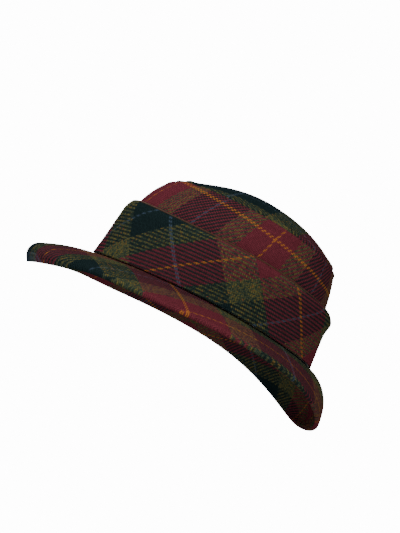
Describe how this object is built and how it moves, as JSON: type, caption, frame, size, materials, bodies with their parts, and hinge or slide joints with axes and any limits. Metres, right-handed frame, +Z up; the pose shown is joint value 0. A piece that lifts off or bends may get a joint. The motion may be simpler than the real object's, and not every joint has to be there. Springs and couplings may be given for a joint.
{
  "type": "tartan cloche hat",
  "caption": "Soft tartan wool hat with a rounded crown, an upturned cuff around it and a brim that turns down, lined, with a sweatband and a wired rim.",
  "frame": {"origin": "middle of the hat's outline on the surface that it rests on, brim down", "axes": "-Y towards the front of the hat, +X to the wearer's left, +Z up"},
  "size_m": [0.2958, 0.2959, 0.1523],
  "materials": {
    "tartan_tweed": "woven wool tweed, red, navy and olive check",
    "satin_lining": "smooth lining satin",
    "canvas_interlining": "plain stiffening canvas",
    "felt_interlining": "soft needled felt",
    "sweatband_grosgrain": "ribbed grosgrain ribbon",
    "edge_tape": "brown bias tape",
    "thread": "polyester thread",
    "spring_wire": "flat spring steel",
    "joiner_metal": "thin pressed sleeve",
    "label_cloth": "blank damask-woven label",
    "care_cloth": "white satin tape"
  },
  "bodies": {
    "hat": {"brim_interlining": "felt_interlining", "brim_top_cloth": "tartan_tweed", "brim_under_cloth": "tartan_tweed", "brim_wire": "spring_wire", "crown_side_cloth": "tartan_tweed", "crown_side_interlining": "canvas_interlining", "crown_side_lining": "satin_lining", "crown_tip_cloth": "tartan_tweed", "crown_tip_interlining": "canvas_interlining", "crown_tip_lining": "satin_lining", "cuff_cloth": "tartan_tweed", "cuff_edge_tape": "edge_tape", "cuff_interlining": "felt_interlining", "maker_label": "label_cloth", "sweatband": "sweatband_grosgrain", "sweatband_stitches": "thread"},
    "front_brim": {"front_brim_interlining": "felt_interlining", "front_brim_top_cloth": "tartan_tweed", "front_brim_under_cloth": "tartan_tweed", "front_brim_wire": "spring_wire"},
    "back_brim": {"back_brim_interlining": "felt_interlining", "back_brim_top_cloth": "tartan_tweed", "back_brim_under_cloth": "tartan_tweed", "back_brim_wire": "spring_wire", "wire_joiner": "joiner_metal"},
    "care_label": {"care_label": "care_cloth"}
  },
  "joints": [
    {"name": "front_brim_fold", "type": "hinge", "parent": "hat", "child": "front_brim", "pos_m": [0, -0.09755, 0.03013], "axis": [-1, 0, 0], "range_deg": [-10, 25]},
    {"name": "back_brim_fold", "type": "hinge", "parent": "hat", "child": "back_brim", "pos_m": [0, 0.1265, 0.04265], "axis": [1, 0, 0], "range_deg": [-3, 38]},
    {"name": "care_label_hang", "type": "hinge", "parent": "hat", "child": "care_label", "pos_m": [-0.07985, 0.01315, 0.06193], "axis": [0, -0.9979, -0.0643], "range_deg": [0, 150]}
  ]
}
